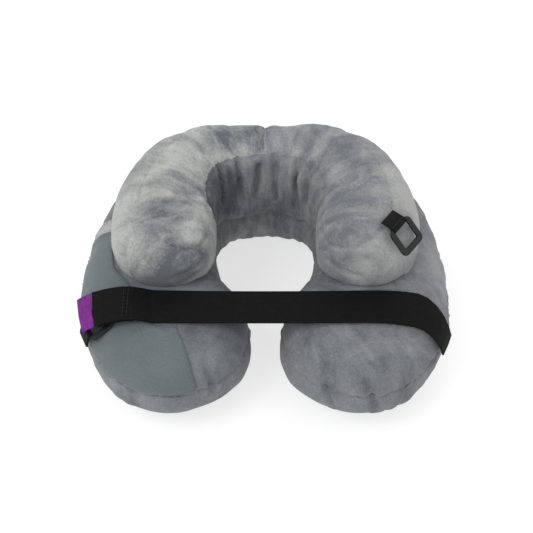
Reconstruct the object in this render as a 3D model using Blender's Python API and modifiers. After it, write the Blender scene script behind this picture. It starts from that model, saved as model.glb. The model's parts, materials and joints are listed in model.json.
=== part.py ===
"""U-shaped inflatable neck pillow: a wide lower cushion with a smaller roll on top of its inner side,
in a sewn cover with a phone pocket, a front strap, a hanging ring, a rear zip and an air valve.

Metres, +Z up. The pillow rests on z = 0 with the opening of its U facing -Y.
"""
from math import asin, cos, pi, radians, sin

import bmesh
import bpy
import numpy as np
from mathutils import Matrix, Vector

# ---- Driving dimensions, metres ----
MM = 0.001
PLAN_SHIFT = 0.0                 # slides the whole plan along Y so that the object is centred

LOWER_SIDE_REACH = 96 * MM       # centreline of the lower cushion: half width of its U
LOWER_BACK_REACH = 91 * MM
LOWER_FRONT_REACH = 90 * MM
LOWER_SQUARENESS = 2.5           # 2 is an ellipse, more is squarer
LOWER_SWEEP = radians(130)       # how far each arm runs round from the back
LOWER_HALF_WIDTHS = (33 * MM, 54 * MM, 66 * MM)    # at the back, at mid arm, at the lobe
LOWER_MID_Z = 42 * MM
LOWER_RISE = 42 * MM
LOWER_DROP = 44 * MM             # more than LOWER_MID_Z, so that the floor flattens the underside
LOWER_SECTION_POWER = 2.3

UPPER_SIDE_REACH = 82 * MM
UPPER_BACK_REACH = 77 * MM
UPPER_FRONT_REACH = 60 * MM
UPPER_SHIFT = -1 * MM
UPPER_SQUARENESS = 2.8
UPPER_SWEEP = radians(92)
UPPER_HALF_WIDTHS = (27 * MM, 39 * MM, 42 * MM)
UPPER_MID_Z = 98 * MM
UPPER_RISES = (36 * MM, 38 * MM, 40 * MM)
UPPER_DROP = 50 * MM
UPPER_TOP_POWER = 2.6
UPPER_BOTTOM_POWER = 3.2

COVER_THICKNESS = 1.0 * MM
CHAMBER_DEPTH = 1.9 * MM         # the bladder's skin below the cover's outer face
FLOOR_CLEARANCE = 1.3 * MM       # the bladder's flat underside above the floor
SEAM_GAP = 0.4 * MM
CREASE_GAP = 1.0 * MM            # between a panel's edge and the tier that it meets
TOUCH_GAP = 0.3 * MM

SIDE_STEPS = 28                  # stations along each side of a U
CAP_STEPS = 10                   # stations around each end of a U
END_SPLITS = 3                   # finer stations beside each end
ROW_DEGREES = 15                 # between rows of a section
ROW_SNAP = 2.5                   # a row this close to a panel's edge joins it, degrees

EQUATOR_RISE = 8                 # degrees: the seam round the lower cushion
HEM_RISE = -45                   # degrees: the same seam where it passes under the neck wall
CROWN_SIDE_RISE = 68             # degrees: the crown seam on the outer side of the roll
CROWN_CORNER_RISE = 20           # where it has come round the front to the neck
CROWN_NECK_RISE = 56
NECK_REACH = 0.8                 # how far along each arm the neck wall runs

POCKET_START = 0.21              # turns: the pocket's mouth, on the left arm's outer side
POCKET_STOP = -0.40              # turns: its sewn edge, on the front of the left lobe
POCKET_TOP_RISE = 76
POCKET_HEM = 9 * MM

STRAP_WIDTH = 30 * MM
STRAP_THICKNESS = 1.4 * MM
STRAP_MID_Y = -65 * MM
STRAP_LIFT = 2.0 * MM
STRAP_STAND = 7.4 * MM           # extra lift of its left end, over the ring and hook
STRAP_LEFT_END = -1.62           # travel: 1 is on top of a lobe, 2 would be a quarter turn round it
STRAP_RIGHT_END = 1.90
FOLD_STEPS = 4                   # of the strap's steps: the doubled end, over the hook
FOLD_GAP = 0.5 * MM
STRAP_SAG = 1.0 * MM
STRAP_STEPS = 48
STRAP_PINCH = 0.62               # width left where it is gathered into the right-hand seam
STRAP_DRIFT = 14 * MM            # how far forward that end runs
TAG_THICKNESS = 0.7 * MM
TAG_TURNS = 0.12                 # quarter turns that the tag runs on past the strap's end
TAG_GAP = 0.008

RING_LENGTH = 24 * MM
RING_WIDTH = 26 * MM
RING_THICKNESS = 2.0 * MM
RING_BAR = 5.0 * MM
RING_HINGE_BAR = 2.0 * MM
RING_CORNER = 4.5 * MM
RING_WINDOW_CORNER = 0.6 * MM
RING_BEVEL = 0.5 * MM
HOOK_LENGTH = 14 * MM
HOOK_WIDTH = 14 * MM
HOOK_PLATE = 1.6 * MM
HOOK_NOSE = 2.4 * MM
HOOK_NOSE_WIDTH = 9 * MM
HOOK_NOSE_AT = 11.4 * MM         # from the ring's hinge bar, clear of its far bar when lifted
WEBBING_WIDTH = 15.6 * MM
WEBBING_THICKNESS = 1.0 * MM
WEBBING_HOLE = 1.55 * MM
WEBBING_TAIL = 11 * MM
WEBBING_DROP = 3.4 * MM          # how far the tail bends down to its seam
LOOP_MOUTH = 35                  # degrees each side of the tail
LOOP_STEPS = 16
RING_LIFT = 3.0 * MM             # the ring's axis above the cover
RIGHT_RING_TURN = 1.20
RIGHT_RING_RISE = 58
RIGHT_RING_LEAN = radians(16)
LEFT_RING_TURN = 0.04
LEFT_RING_RISE = 30
LEFT_RING_LIFT = 4.3 * MM        # it also clears the phone pocket
LEFT_RING_LEAN = radians(17)

ZIP_Z = 50 * MM
ZIP_REACH_TURN = 0.135           # how far round each side of the middle the zip runs
ZIP_STOP = 3.5 * MM
ZIP_SUNK = 1.0 * MM              # the tapes lie a little below the cover beside them
ZIP_COIL_HEIGHT = 2.2 * MM
ZIP_COIL_HALF_DEPTH = 1.2 * MM
ZIP_TAPE_HEIGHT = 7.2 * MM
ZIP_TAPE_THICKNESS = 0.8 * MM
ZIP_STEPS = 20
SLIDER_LENGTH = 9 * MM
SLIDER_HEIGHT = 7.8 * MM
SLIDER_PLATE = 2.2 * MM
SLIDER_AT = 0.06                 # share of the zip: parked by its left end
BAIL_LENGTH = 6.4 * MM
BAIL_LEG = 1.3 * MM
BAIL_SLOT = 2.0 * MM
BAIL_HEIGHT_OUT = 3.0 * MM
BAIL_WIDTH = 1.6 * MM
PULL_EYE = 3.4 * MM
PULL_LENGTH = 20 * MM
PULL_WIDTH = 6 * MM
PULL_THICKNESS = 1.2 * MM

VALVE_TURN = 0.345
VALVE_Z = 101 * MM
VALVE_SEAT = 5.5 * MM            # seat in the bladder, below the cover's outer face
FLANGE_RADIUS = 14 * MM
FLANGE_THICKNESS = 1.2 * MM
COLLAR_RADIUS = 9.2 * MM
COLLAR_BORE = 6.5 * MM
COLLAR_STAND = 2.4 * MM
EYELET_RADIUS = 13 * MM
EYELET_LOW = 0.5 * MM
EYELET_TOP = 1.6 * MM
PLUG_DEPTH = 6 * MM
PLUG_TOP_RADIUS = 5.9 * MM
PLUG_TIP_RADIUS = 4.7 * MM
PLUG_LIP = 1.4 * MM
MOUTH_RADIUS = 2.6 * MM
VALVE_HINGE_OFFSET = 12.6 * MM
KNUCKLE_RADIUS = 1.1 * MM
KNUCKLE_LENGTH = 4 * MM
CAP_HINGE_OFFSET = 11.4 * MM
CAP_NIB = 1.8 * MM
CAP_RADIUS = 8.6 * MM
CAP_HEIGHT = 2.6 * MM
FLAP_RADIUS = 4.4 * MM
FLAP_THICKNESS = 0.8 * MM
ROUND_STEPS = 28

# ---- Looks: name, colour, roughness, metallic ----
VELOUR_LIGHT = ("velour_light", (0.41, 0.42, 0.41), 0.9, 0.0)
VELOUR_MID = ("velour_mid", (0.20, 0.21, 0.22), 0.9, 0.0)
VELOUR_DARK = ("velour_dark", (0.055, 0.06, 0.065), 0.92, 0.0)
KNIT_GREY = ("knit_grey", (0.14, 0.15, 0.16), 0.85, 0.0)
BLADDER = ("bladder_film", (0.32, 0.34, 0.36), 0.45, 0.0)
ELASTIC_BLACK = ("elastic_black", (0.011, 0.011, 0.012), 0.8, 0.0)
WEBBING_BLACK = ("webbing_black", (0.014, 0.014, 0.015), 0.75, 0.0)
PLASTIC_BLACK = ("plastic_black", (0.012, 0.012, 0.013), 0.38, 0.0)
LABEL_PURPLE = ("label_purple", (0.30, 0.035, 0.33), 0.6, 0.0)
TAPE_GREY = ("tape_grey", (0.09, 0.095, 0.10), 0.8, 0.0)
COIL_GREY = ("coil_grey", (0.05, 0.05, 0.055), 0.4, 0.0)
METAL_DARK = ("metal_dark", (0.09, 0.09, 0.10), 0.35, 0.9)
VALVE_GREY = ("valve_grey", (0.16, 0.165, 0.17), 0.4, 0.0)


# ---- Scene helpers ----
for old in list(bpy.data.objects):
    bpy.data.objects.remove(old, do_unlink=True)

parts = bpy.data.collections.new("u_shaped_neck_pillow")
cutters = bpy.data.collections.new("cutters")
bpy.context.scene.collection.children.link(parts)
bpy.context.scene.collection.children.link(cutters)


def material(look):
    name, colour, roughness, metallic = look
    found = bpy.data.materials.get(name)
    if found:
        return found
    made = bpy.data.materials.new(name)
    made.use_nodes = True
    shader = made.node_tree.nodes["Principled BSDF"]
    shader.inputs["Base Color"].default_value = (*colour, 1.0)
    shader.inputs["Roughness"].default_value = roughness
    shader.inputs["Metallic"].default_value = metallic
    made.diffuse_color = (*colour, 1.0)
    return made


def add_object(name, mesh, look=None, matrix=None):
    """A part if it has a look, otherwise a cutter, which neither renders nor shades."""
    obj = bpy.data.objects.new(name, mesh)
    if look:
        parts.objects.link(obj)
        mesh.materials.append(material(look))
    else:
        cutters.objects.link(obj)
        obj.hide_render = True
        obj.display_type = "WIRE"
    if matrix is not None:
        obj.matrix_world = matrix
    return obj


def mesh_from(bm, name, sharp=None):
    bmesh.ops.recalc_face_normals(bm, faces=bm.faces)
    mesh = bpy.data.meshes.new(name)
    bm.to_mesh(mesh)
    bm.free()
    if sharp is not None:
        mesh.shade_smooth()
        mesh.set_sharp_from_angle(angle=sharp)
    return mesh


def boolean(obj, other, operation):
    step = obj.modifiers.new(f"{operation.lower()}_{other.name}", "BOOLEAN")
    step.operation = operation
    step.object = other
    step.solver = "EXACT"
    return obj


def cut(obj, cutter):
    return boolean(obj, cutter, "DIFFERENCE")


def fuse(obj, other):
    return boolean(obj, other, "UNION")


def block(name, size, middle=(0, 0, 0), look=None, matrix=None, bevel=0.0):
    """A box with its scale applied, its middle off its origin, and optional rounded edges."""
    bm = bmesh.new()
    bmesh.ops.create_cube(bm, size=1.0)
    bmesh.ops.scale(bm, vec=size, verts=bm.verts)
    bmesh.ops.translate(bm, vec=middle, verts=bm.verts)
    obj = add_object(name, mesh_from(bm, name), look, matrix)
    if bevel:
        round_edges(obj, bevel)
    return obj


def round_edges(obj, width, segments=2):
    step = obj.modifiers.new("rounded", "BEVEL")
    step.width = width
    step.segments = segments
    step.limit_method = "ANGLE"
    step.angle_limit = radians(40)
    return obj


def cylinder(name, radius, low, high, look=None, matrix=None, tip_radius=None, steps=ROUND_STEPS):
    """A round bar, or a cone towards its low end, along local Z."""
    bm = bmesh.new()
    bmesh.ops.create_cone(bm, cap_ends=True, segments=steps, depth=high - low,
                          radius1=radius if tip_radius is None else tip_radius, radius2=radius)
    bmesh.ops.translate(bm, vec=(0, 0, (low + high) / 2), verts=bm.verts)
    return add_object(name, mesh_from(bm, name, radians(40)), look, matrix)


def turned(name, profile, look, matrix=None, angle=2 * pi, steps=ROUND_STEPS):
    """A closed profile of (radius, height), outer side from top to bottom, turned about local Z."""
    mesh = bpy.data.meshes.new(name)
    corners = [(radius, 0, height) for radius, height in profile]
    edges = [(i, (i + 1) % len(corners)) for i in range(len(corners))]
    mesh.from_pydata(corners, edges, [])
    obj = add_object(name, mesh, look, matrix)
    step = obj.modifiers.new("turn", "SCREW")
    step.axis = "Z"
    step.angle = angle
    step.steps = steps
    step.render_steps = steps
    step.use_merge_vertices = True
    step.merge_threshold = 0.00001
    return obj


def outline(name, loops, half_thickness, look, matrix=None):
    """A flat plate from closed outlines, the second one a hole; thick along local Z."""
    curve = bpy.data.curves.new(name, "CURVE")
    curve.dimensions = "2D"
    curve.fill_mode = "BOTH"
    curve.extrude = half_thickness
    for loop in loops:
        spline = curve.splines.new("POLY")
        spline.points.add(len(loop) - 1)
        for point, (x, y) in zip(spline.points, loop):
            point.co = (x, y, 0, 1)
        spline.use_cyclic_u = True
    drawn = bpy.data.objects.new(name + "_outline", curve)
    parts.objects.link(drawn)
    bpy.context.view_layer.update()
    seen = drawn.evaluated_get(bpy.context.evaluated_depsgraph_get())
    mesh = bpy.data.meshes.new_from_object(seen)
    bpy.data.objects.remove(drawn, do_unlink=True)
    bm = bmesh.new()
    bm.from_mesh(mesh)
    bmesh.ops.remove_doubles(bm, verts=bm.verts, dist=0.00001)
    return add_object(name, mesh_from(bm, name, radians(40)), look, matrix)


def pivot(name, matrix, *moving):
    """An empty on a joint's axis that carries the pieces that turn about it."""
    empty = bpy.data.objects.new(name, None)
    empty.empty_display_size = 10 * MM
    parts.objects.link(empty)
    empty.matrix_world = matrix
    for piece in moving:
        piece.parent = empty
        piece.matrix_parent_inverse = matrix.inverted()
    return empty


def rounded_rectangle(left, right, low, high, radius, steps=4):
    corners = ((right - radius, high - radius, 0), (left + radius, high - radius, 90),
               (left + radius, low + radius, 180), (right - radius, low + radius, 270))
    loop = []
    for x, y, start in corners:
        for i in range(steps + 1):
            a = radians(start + 90 * i / steps)
            loop.append((x + radius * cos(a), y + radius * sin(a)))
    return loop


# ---- The shape of one tier of the U ----
def smooth(x):
    x = min(max(x, 0.0), 1.0)
    return x * x * (3 - 2 * x)


class Tier:
    """A tube bent into a U, with superellipse sections that widen along its arms.

    turn 0..1 runs along its outer side from the left end to the right one, 1..2 round the right end,
    2..3 back along the inner side, and 3..4 round the left end. rise is the angle up the section,
    from -90 (underneath) over 0 (its widest) to 90 (on top). depth is how far below the cover's
    outer face a point lies.
    """

    SAMPLES = 4001

    def __init__(self, side, back, front, squareness, sweep, shift,
                 widths, mid_z, rises, drop, powers, floor):
        angles = np.linspace(-sweep, sweep, self.SAMPLES)
        across, along = np.sin(angles), np.cos(angles)
        reach = np.where(along >= 0, back, front)
        x = side * np.sign(across) * np.abs(across) ** (2 / squareness)
        y = shift + reach * np.sign(along) * np.abs(along) ** (2 / squareness)
        self.line = np.stack([x, y], axis=1)
        lengths = np.linalg.norm(np.diff(self.line, axis=0), axis=1)
        run = np.concatenate([[0.0], np.cumsum(lengths)])
        self.length = run[-1]
        self.stations = 2 * run / run[-1] - 1
        self.widths, self.mid_z, self.rises, self.drop = widths, mid_z, rises, drop
        self.powers, self.floor = powers, floor

    def centre(self, station):
        return np.array([np.interp(station, self.stations, self.line[:, i]) for i in (0, 1)])

    def direction(self, station):
        step = 0.01
        run = self.centre(min(station + step, 1)) - self.centre(max(station - step, -1))
        return run / np.linalg.norm(run)

    @staticmethod
    def spread(three, station):
        """A value given at the back, at mid arm and at the end of an arm, eased between them."""
        back, middle, end = three
        mid_arm = 0.55
        a = abs(station)
        if a < mid_arm:
            return back + (middle - back) * smooth(a / mid_arm)
        return middle + (end - middle) * smooth((a - mid_arm) / (1 - mid_arm))

    def spoke(self, turn):
        """The station of a turn, and the plan direction in which its half section points."""
        turn = turn % 4
        side = int(turn)
        part = turn - side
        if side == 0:
            station = 2 * part - 1
            x, y = self.direction(station)
            return station, np.array([-y, x])
        if side == 2:
            station = 1 - 2 * part
            x, y = self.direction(station)
            return station, np.array([y, -x])
        station = 1 if side == 1 else -1
        x, y = self.direction(station)
        angle = pi * part if side == 1 else pi * (1 - part)
        outward = np.array([-y, x])
        onward = np.array([x, y]) * station
        return station, outward * cos(angle) + onward * sin(angle)

    def point(self, turn, rise, depth=0.0):
        station, way = self.spoke(turn)
        upper = rise >= 0
        power = self.powers[0] if upper else self.powers[1]
        height = (self.spread(self.rises, station) if upper else -self.drop) - (depth if upper else -depth)
        width = self.spread(self.widths, station) - depth
        a = radians(rise)
        out = abs(cos(a)) ** (2 / power) if abs(rise) < 90 else 0.0
        x, y = self.centre(station) + way * out * width
        z = self.mid_z + height * abs(sin(a)) ** (2 / power)
        return Vector((x, y + PLAN_SHIFT, max(z, self.floor(depth))))

    def normal(self, turn, rise):
        d_turn, d_rise = 0.004, 1.0
        along = self.point(turn + d_turn, rise) - self.point(turn - d_turn, rise)
        up = self.point(turn, rise + d_rise) - self.point(turn, rise - d_rise)
        return up.cross(along).normalized() * (1 if up.cross(along).dot(self.away(turn, rise)) > 0 else -1)

    def away(self, turn, rise):
        x, y = self.centre(self.spoke(turn)[0])
        return self.point(turn, rise) - Vector((x, y + PLAN_SHIFT, self.mid_z))

    def contains(self, point, margin=0.0):
        """Whether a point lies inside the tier's outer face, grown by a margin."""
        x, y, z = point
        gaps = np.hypot(self.line[:, 0] - x, self.line[:, 1] + PLAN_SHIFT - y)
        near = int(gaps.argmin())
        station = self.stations[near]
        upper = z >= self.mid_z
        height = self.spread(self.rises, station) if upper else self.drop
        power = self.powers[0] if upper else self.powers[1]
        across = gaps[near] / (self.spread(self.widths, station) + margin)
        up = abs(z - self.mid_z) / (height + margin)
        return across ** power + up ** power < 1

    def frame(self, turn, rise, lift, heading=None):
        """Axes on the skin: X up the slope, or along a heading, Y along the tier, Z outwards."""
        outward = self.normal(turn, rise)
        ahead = heading if heading is not None else self.point(turn, rise + 1) - self.point(turn, rise - 1)
        ahead = (ahead - outward * ahead.dot(outward)).normalized()
        axes = Matrix((ahead, outward.cross(ahead), outward)).transposed().to_4x4()
        return Matrix.Translation(self.point(turn, rise) + outward * lift) @ axes


def on_floor(depth):
    return min(depth, FLOOR_CLEARANCE)


def no_floor(depth):
    return -1.0


lower = Tier(LOWER_SIDE_REACH, LOWER_BACK_REACH, LOWER_FRONT_REACH, LOWER_SQUARENESS, LOWER_SWEEP, 0.0,
             LOWER_HALF_WIDTHS, LOWER_MID_Z, (LOWER_RISE,) * 3, LOWER_DROP, (LOWER_SECTION_POWER,) * 2,
             on_floor)
upper = Tier(UPPER_SIDE_REACH, UPPER_BACK_REACH, UPPER_FRONT_REACH, UPPER_SQUARENESS, UPPER_SWEEP,
             UPPER_SHIFT, UPPER_HALF_WIDTHS, UPPER_MID_Z, UPPER_RISES, UPPER_DROP,
             (UPPER_TOP_POWER, UPPER_BOTTOM_POWER), no_floor)


# ---- Solids and sheets on a tier ----
def constant(value):
    return lambda turn: value


on_top = constant(90)
underneath = constant(-90)


def turns_between(start, stop):
    """The shared stations from one turn to another, with both ends."""
    along_side = [i / SIDE_STEPS for i in range(SIDE_STEPS)]
    for i in (0, SIDE_STEPS - 1):
        along_side += [(i + split / END_SPLITS) / SIDE_STEPS for split in range(1, END_SPLITS)]
    round_cap = [i / CAP_STEPS for i in range(CAP_STEPS)]
    shared = [lap + side + part for lap in (-4, 0) for side in range(4)
              for part in sorted(round_cap if side % 2 else along_side)]
    shared.append(4.0)
    edge = 0.25 / SIDE_STEPS / END_SPLITS
    return [start] + [t for t in shared if start + edge < t < stop - edge] + [stop]


def patch(tier, turns, low, high, depth):
    """A grid laid on a tier: columns at the turns, shared rows held between low(turn) and high(turn)."""
    bm = bmesh.new()
    rows = 180 // ROW_DEGREES
    bmesh.ops.create_grid(bm, x_segments=len(turns) - 1, y_segments=rows, size=1.0)
    limits = [(low(turn), high(turn)) for turn in turns]
    for vert in bm.verts:
        column = round((vert.co.x + 1) / 2 * (len(turns) - 1))
        rise = -90 + ROW_DEGREES * round((vert.co.y + 1) / 2 * rows)
        bottom, top = limits[column]
        if rise < bottom + ROW_SNAP:
            rise = bottom
        elif rise > top - ROW_SNAP:
            rise = top
        vert.co = tier.point(turns[column], rise, depth)
    bmesh.ops.remove_doubles(bm, verts=bm.verts, dist=0.00002)
    bmesh.ops.recalc_face_normals(bm, faces=bm.faces)
    return bm


def facing_out(bm, tier, turn, rise):
    """Turn an open patch so that its faces point away from the tier's middle."""
    bm.faces.ensure_lookup_table()
    target = tier.point(turn, rise)
    nearest = min(bm.faces, key=lambda face: (face.calc_center_median() - target).length)
    if nearest.normal.dot(tier.away(turn, rise)) < 0:
        bmesh.ops.reverse_faces(bm, faces=bm.faces)


def sheet(name, tier, turns, low, high, look, depth=0.0, thickness=COVER_THICKNESS):
    """A piece of the cover: a patch of the tier's skin, made solid inwards."""
    bm = patch(tier, turns, low, high, depth)
    middle = turns[len(turns) // 2]
    facing_out(bm, tier, middle, (low(middle) + high(middle)) / 2)
    mesh = bpy.data.meshes.new(name)
    bm.to_mesh(mesh)
    bm.free()
    mesh.shade_smooth()
    obj = add_object(name, mesh, look)
    step = obj.modifiers.new("thickness", "SOLIDIFY")
    step.thickness = thickness
    step.offset = -1
    return obj


def tube(name, tier, depth, look=None):
    """The whole closed solid inside a tier's skin."""
    bm = patch(tier, turns_between(0.0, 4.0), underneath, on_top, depth)
    return add_object(name, mesh_from(bm, name, radians(50)), look)


def crease(tier, other, start, stop):
    """The rise, going from start to stop, at which a tier's skin meets the other tier."""
    def meet(turn):
        begin, end = start(turn), stop(turn)
        steps = 40
        for i in range(1, steps + 1):
            rise = begin + (end - begin) * i / steps
            if other.contains(tier.point(turn, rise), CREASE_GAP):
                clear, hit = begin + (end - begin) * (i - 1) / steps, rise
                for _ in range(12):
                    middle = (clear + hit) / 2
                    if other.contains(tier.point(turn, middle), CREASE_GAP):
                        hit = middle
                    else:
                        clear = middle
                return clear
        return end
    return meet


def equator(turn):
    """The lower cushion's seam: level round the outside, dipping under the neck wall."""
    turn = turn % 4
    if 2 <= turn <= 3:
        inside = 1 - abs(5 - 2 * turn)
        return EQUATOR_RISE + (HEM_RISE - EQUATOR_RISE) * smooth(inside / 0.45)
    return EQUATOR_RISE


def crown(turn):
    """The roll's crown seam: high on its outer side, lower round the front, high again at the neck."""
    turn = turn % 4
    if turn <= 1:
        return CROWN_SIDE_RISE
    if 2 <= turn <= 3:
        inside = 1 - abs(5 - 2 * turn)
        return CROWN_CORNER_RISE + (CROWN_NECK_RISE - CROWN_CORNER_RISE) * smooth(inside / 0.7)
    share = turn - 1 if turn < 2 else 4 - turn
    return CROWN_SIDE_RISE + (CROWN_CORNER_RISE - CROWN_SIDE_RISE) * smooth((share - 0.3) / 0.6)


def shifted(rule, degrees):
    return lambda turn: rule(turn) + degrees


NECK_START = 2.5 - NECK_REACH / 2
NECK_STOP = 2.5 + NECK_REACH / 2
SEAM_DEGREES = 1.0               # half the gap at a seam that runs along the tier
SEAM_TURNS = SEAM_GAP / 2 / lower.length * 1.6

left_turns = turns_between(NECK_STOP - 4 + SEAM_TURNS, 0.5 - SEAM_TURNS)
right_turns = turns_between(0.5 + SEAM_TURNS, NECK_START - SEAM_TURNS)
neck_turns = turns_between(NECK_START + SEAM_TURNS, NECK_STOP - SEAM_TURNS)
crown_left_turns = turns_between(2.5 - 4 + SEAM_TURNS, 0.5 - SEAM_TURNS)
crown_right_turns = turns_between(0.5 + SEAM_TURNS, 2.5 - SEAM_TURNS)

above_equator = shifted(equator, SEAM_DEGREES)
below_equator = shifted(equator, -SEAM_DEGREES)
above_crown = shifted(crown, SEAM_DEGREES)
below_crown = shifted(crown, -SEAM_DEGREES)

lower_crease = crease(lower, upper, above_equator, on_top)
upper_crease = crease(upper, lower, below_crown, underneath)

lower_chamber = tube("lower_air_chamber", lower, CHAMBER_DEPTH, BLADDER)
upper_chamber = tube("upper_air_chamber", upper, CHAMBER_DEPTH, BLADDER)
cut(upper_chamber, tube("lower_chamber_clearance", lower, CHAMBER_DEPTH - 2 * TOUCH_GAP))
around_lower_chamber = tube("around_lower_chamber", lower, CHAMBER_DEPTH - TOUCH_GAP)

lower_top_left = sheet("lower_top_panel_left", lower, left_turns, above_equator, lower_crease, VELOUR_MID)
lower_top_right = sheet("lower_top_panel_right", lower, right_turns, above_equator, lower_crease, VELOUR_MID)
for panel in (lower_top_left, lower_top_right):
    cut(panel, around_lower_chamber)
lower_bottom = sheet("lower_bottom_panel", lower, turns_between(0.0, 4.0), underneath, below_equator,
                     VELOUR_MID)
sheet("neck_wall_lower", lower, neck_turns, above_equator, lower_crease, VELOUR_DARK)
sheet("neck_wall_upper", upper, neck_turns, upper_crease, below_crown, VELOUR_DARK)
sheet("upper_crown_panel_left", upper, crown_left_turns, above_crown, on_top, VELOUR_LIGHT)
sheet("upper_crown_panel_right", upper, crown_right_turns, above_crown, on_top, VELOUR_MID)
band_left = sheet("upper_side_band_left", upper, left_turns, upper_crease, below_crown, VELOUR_LIGHT)
sheet("upper_side_band_right", upper, right_turns, upper_crease, below_crown, VELOUR_LIGHT)


# ---- Phone pocket: a second layer on the left arm, open at its rear edge ----
def pocket_top(turn):
    return min(lower_crease(turn) - 1.0, POCKET_TOP_RISE)


hem_turns = POCKET_HEM / lower.length
sheet("phone_pocket_panel", lower, turns_between(POCKET_STOP, POCKET_START - hem_turns - SEAM_TURNS),
      shifted(equator, 1.5), pocket_top, KNIT_GREY, depth=-COVER_THICKNESS - TOUCH_GAP)
sheet("phone_pocket_hem", lower, turns_between(POCKET_START - hem_turns, POCKET_START),
      shifted(equator, 1.5), pocket_top, KNIT_GREY, depth=-COVER_THICKNESS - TOUCH_GAP)


# ---- Front strap across the opening, its end fold and its label tag ----
LOBE_X = float(lower.centre(1.0)[0])


def strap_place(travel, across, lift):
    """A point on the strap, at a share of its width from its middle line.

    travel -1..1 crosses the opening from lobe to lobe; beyond it, each extra unit turns a quarter
    round the lobe's outer side.
    """
    tilt = max(abs(travel) - 1, 0.0) * 90
    right = smooth((tilt - 48) / 34) if travel > 0 else 0.0
    left = smooth((tilt - 12) / 24) if travel < 0 else 0.0
    narrowed = across * (1 - (1 - STRAP_PINCH) * right)
    y = STRAP_MID_Y + PLAN_SHIFT + narrowed * STRAP_WIDTH - STRAP_DRIFT * right
    raised = lift + STRAP_STAND * left
    way = Vector((sin(radians(tilt)) * (1 if travel > 0 else -1), 0, cos(radians(tilt))))
    lobe_middle = Vector((LOBE_X if travel > -1 else -LOBE_X, y, LOWER_MID_Z))
    inside, outside = 0.0, 2 * LOWER_HALF_WIDTHS[2]
    for _ in range(22):
        middle = (inside + outside) / 2
        if lower.contains(lobe_middle + way * middle, raised):
            inside = middle
        else:
            outside = middle
    spot = lobe_middle + way * inside
    if abs(travel) < 1:
        spot.x = LOBE_X * travel
        spot.z -= STRAP_SAG * (1 - travel ** 2)
    return spot


def ribbon(name, place, columns, rows, thickness, look, facing=(0, 0, 1)):
    """A strip laid through place(share along, share across), made solid on the side that it faces."""
    bm = bmesh.new()
    bmesh.ops.create_grid(bm, x_segments=columns, y_segments=rows, size=1.0)
    for vert in bm.verts:
        vert.co = place((vert.co.x + 1) / 2, vert.co.y / 2)
    bm.normal_update()
    if sum(face.normal.dot(Vector(facing)) for face in bm.faces) < 0:
        bmesh.ops.reverse_faces(bm, faces=bm.faces)
    mesh = bpy.data.meshes.new(name)
    bm.to_mesh(mesh)
    bm.free()
    mesh.shade_smooth()
    obj = add_object(name, mesh, look)
    step = obj.modifiers.new("thickness", "SOLIDIFY")
    step.thickness = thickness
    step.offset = 1
    return obj


def strap_run(start, stop, lift):
    return lambda share, across: strap_place(start + (stop - start) * share, across, lift)


LABEL_END = STRAP_LEFT_END - TAG_TURNS
strap = ribbon("front_strap", strap_run(STRAP_LEFT_END, STRAP_RIGHT_END, STRAP_LIFT), STRAP_STEPS, 2,
               STRAP_THICKNESS, ELASTIC_BLACK)
FOLD_STEP = (STRAP_RIGHT_END - STRAP_LEFT_END) / STRAP_STEPS
fold = ribbon("strap_end_fold",
              strap_run(STRAP_LEFT_END, STRAP_LEFT_END + FOLD_STEPS * FOLD_STEP,
                        STRAP_LIFT - STRAP_THICKNESS - FOLD_GAP),
              FOLD_STEPS, 2, STRAP_THICKNESS, ELASTIC_BLACK)
tag = ribbon("strap_label_tag", strap_run(LABEL_END, STRAP_LEFT_END - TAG_GAP, STRAP_LIFT + TOUCH_GAP), 2, 2,
             TAG_THICKNESS, LABEL_PURPLE)


# ---- Hanging ring and strap ring, each in a loop of webbing sewn into a seam ----
def webbing_loop():
    """Side outline of a loop round a bar at the origin, its tail bending down to the seam."""
    outer_radius = WEBBING_HOLE + WEBBING_THICKNESS
    rim = []
    for i in range(LOOP_STEPS + 1):
        a = radians(180 - LOOP_MOUTH - i * (360 - 2 * LOOP_MOUTH) / LOOP_STEPS)
        rim.append((outer_radius * cos(a), outer_radius * sin(a)))
    half = WEBBING_THICKNESS
    tail = []
    for share, side in ((0.45, -1), (0.75, -1), (1.0, -1), (1.0, 1), (0.75, 1), (0.45, 1)):
        tail.append((-WEBBING_TAIL * share, side * half - WEBBING_DROP * share ** 2))
    hole = [(WEBBING_HOLE * cos(radians(i * 30)), WEBBING_HOLE * sin(radians(i * 30))) for i in range(12)]
    return [rim + tail, hole]


def ring_loops():
    window_right = RING_LENGTH - RING_HINGE_BAR / 2 - RING_BAR
    return [rounded_rectangle(-RING_HINGE_BAR / 2, RING_LENGTH - RING_HINGE_BAR / 2, -RING_WIDTH / 2,
                              RING_WIDTH / 2, RING_CORNER),
            rounded_rectangle(RING_HINGE_BAR / 2, window_right, -RING_WIDTH / 2 + RING_BAR - 0.2 * MM,
                              RING_WIDTH / 2 - RING_BAR + 0.2 * MM, RING_WINDOW_CORNER, 2)]


def hung_ring(side, frame, lean):
    """A webbing loop at a frame on the cushion, and its ring turned by an angle about the loop's bar."""
    upright = Matrix.Rotation(radians(90), 4, "X")
    tab = outline(f"ring_webbing_{side}", webbing_loop(), WEBBING_WIDTH / 2, WEBBING_BLACK, frame @ upright)
    ring = outline(f"ring_{side}", ring_loops(), RING_THICKNESS / 2, PLASTIC_BLACK,
                   frame @ Matrix.Rotation(lean, 4, "Y"))
    round_edges(ring, RING_BEVEL)
    pivot(f"ring_{side}_pivot", frame, ring)
    return tab


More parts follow.
